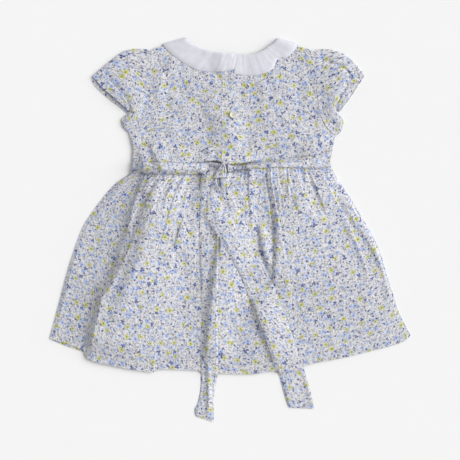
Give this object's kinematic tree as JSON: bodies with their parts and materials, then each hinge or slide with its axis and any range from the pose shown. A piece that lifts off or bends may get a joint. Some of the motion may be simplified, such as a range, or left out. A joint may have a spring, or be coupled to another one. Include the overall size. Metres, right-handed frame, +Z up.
{
  "type": "toddler dress",
  "caption": "Toddler dress laid flat with its back up: puffed sleeves, frilled round collar, buttoned back, gathered skirt and a knotted sash with free tails.",
  "frame": {"origin": "middle of the laid dress's box, on the surface that the dress lies on", "axes": "+Z up off the surface and out of the back of the dress, +Y from the hem to the neck, +X to the right of someone who looks down with the neck away from them"},
  "size_m": [0.4886, 0.5204, 0.0144],
  "materials": {
    "printed_cotton": "matte pale cotton with a small flower print",
    "white_cotton": "matte plain white cotton",
    "pearl_button": "polished, cream and slightly translucent"
  },
  "bodies": {
    "root": {"bodice_front": "printed_cotton", "bodice_back_left": "printed_cotton", "bodice_back_right": "printed_cotton", "skirt_front": "printed_cotton", "skirt_back": "printed_cotton", "sleeve_left": "printed_cotton", "sleeve_right": "printed_cotton", "cuff_left": "printed_cotton", "cuff_right": "printed_cotton", "collar": "white_cotton", "button": "pearl_button", "sash_left": "printed_cotton", "sash_right": "printed_cotton", "sash_knot": "printed_cotton", "sash_tail_left": "printed_cotton", "sash_tail_right": "printed_cotton"}
  },
  "joints": []
}
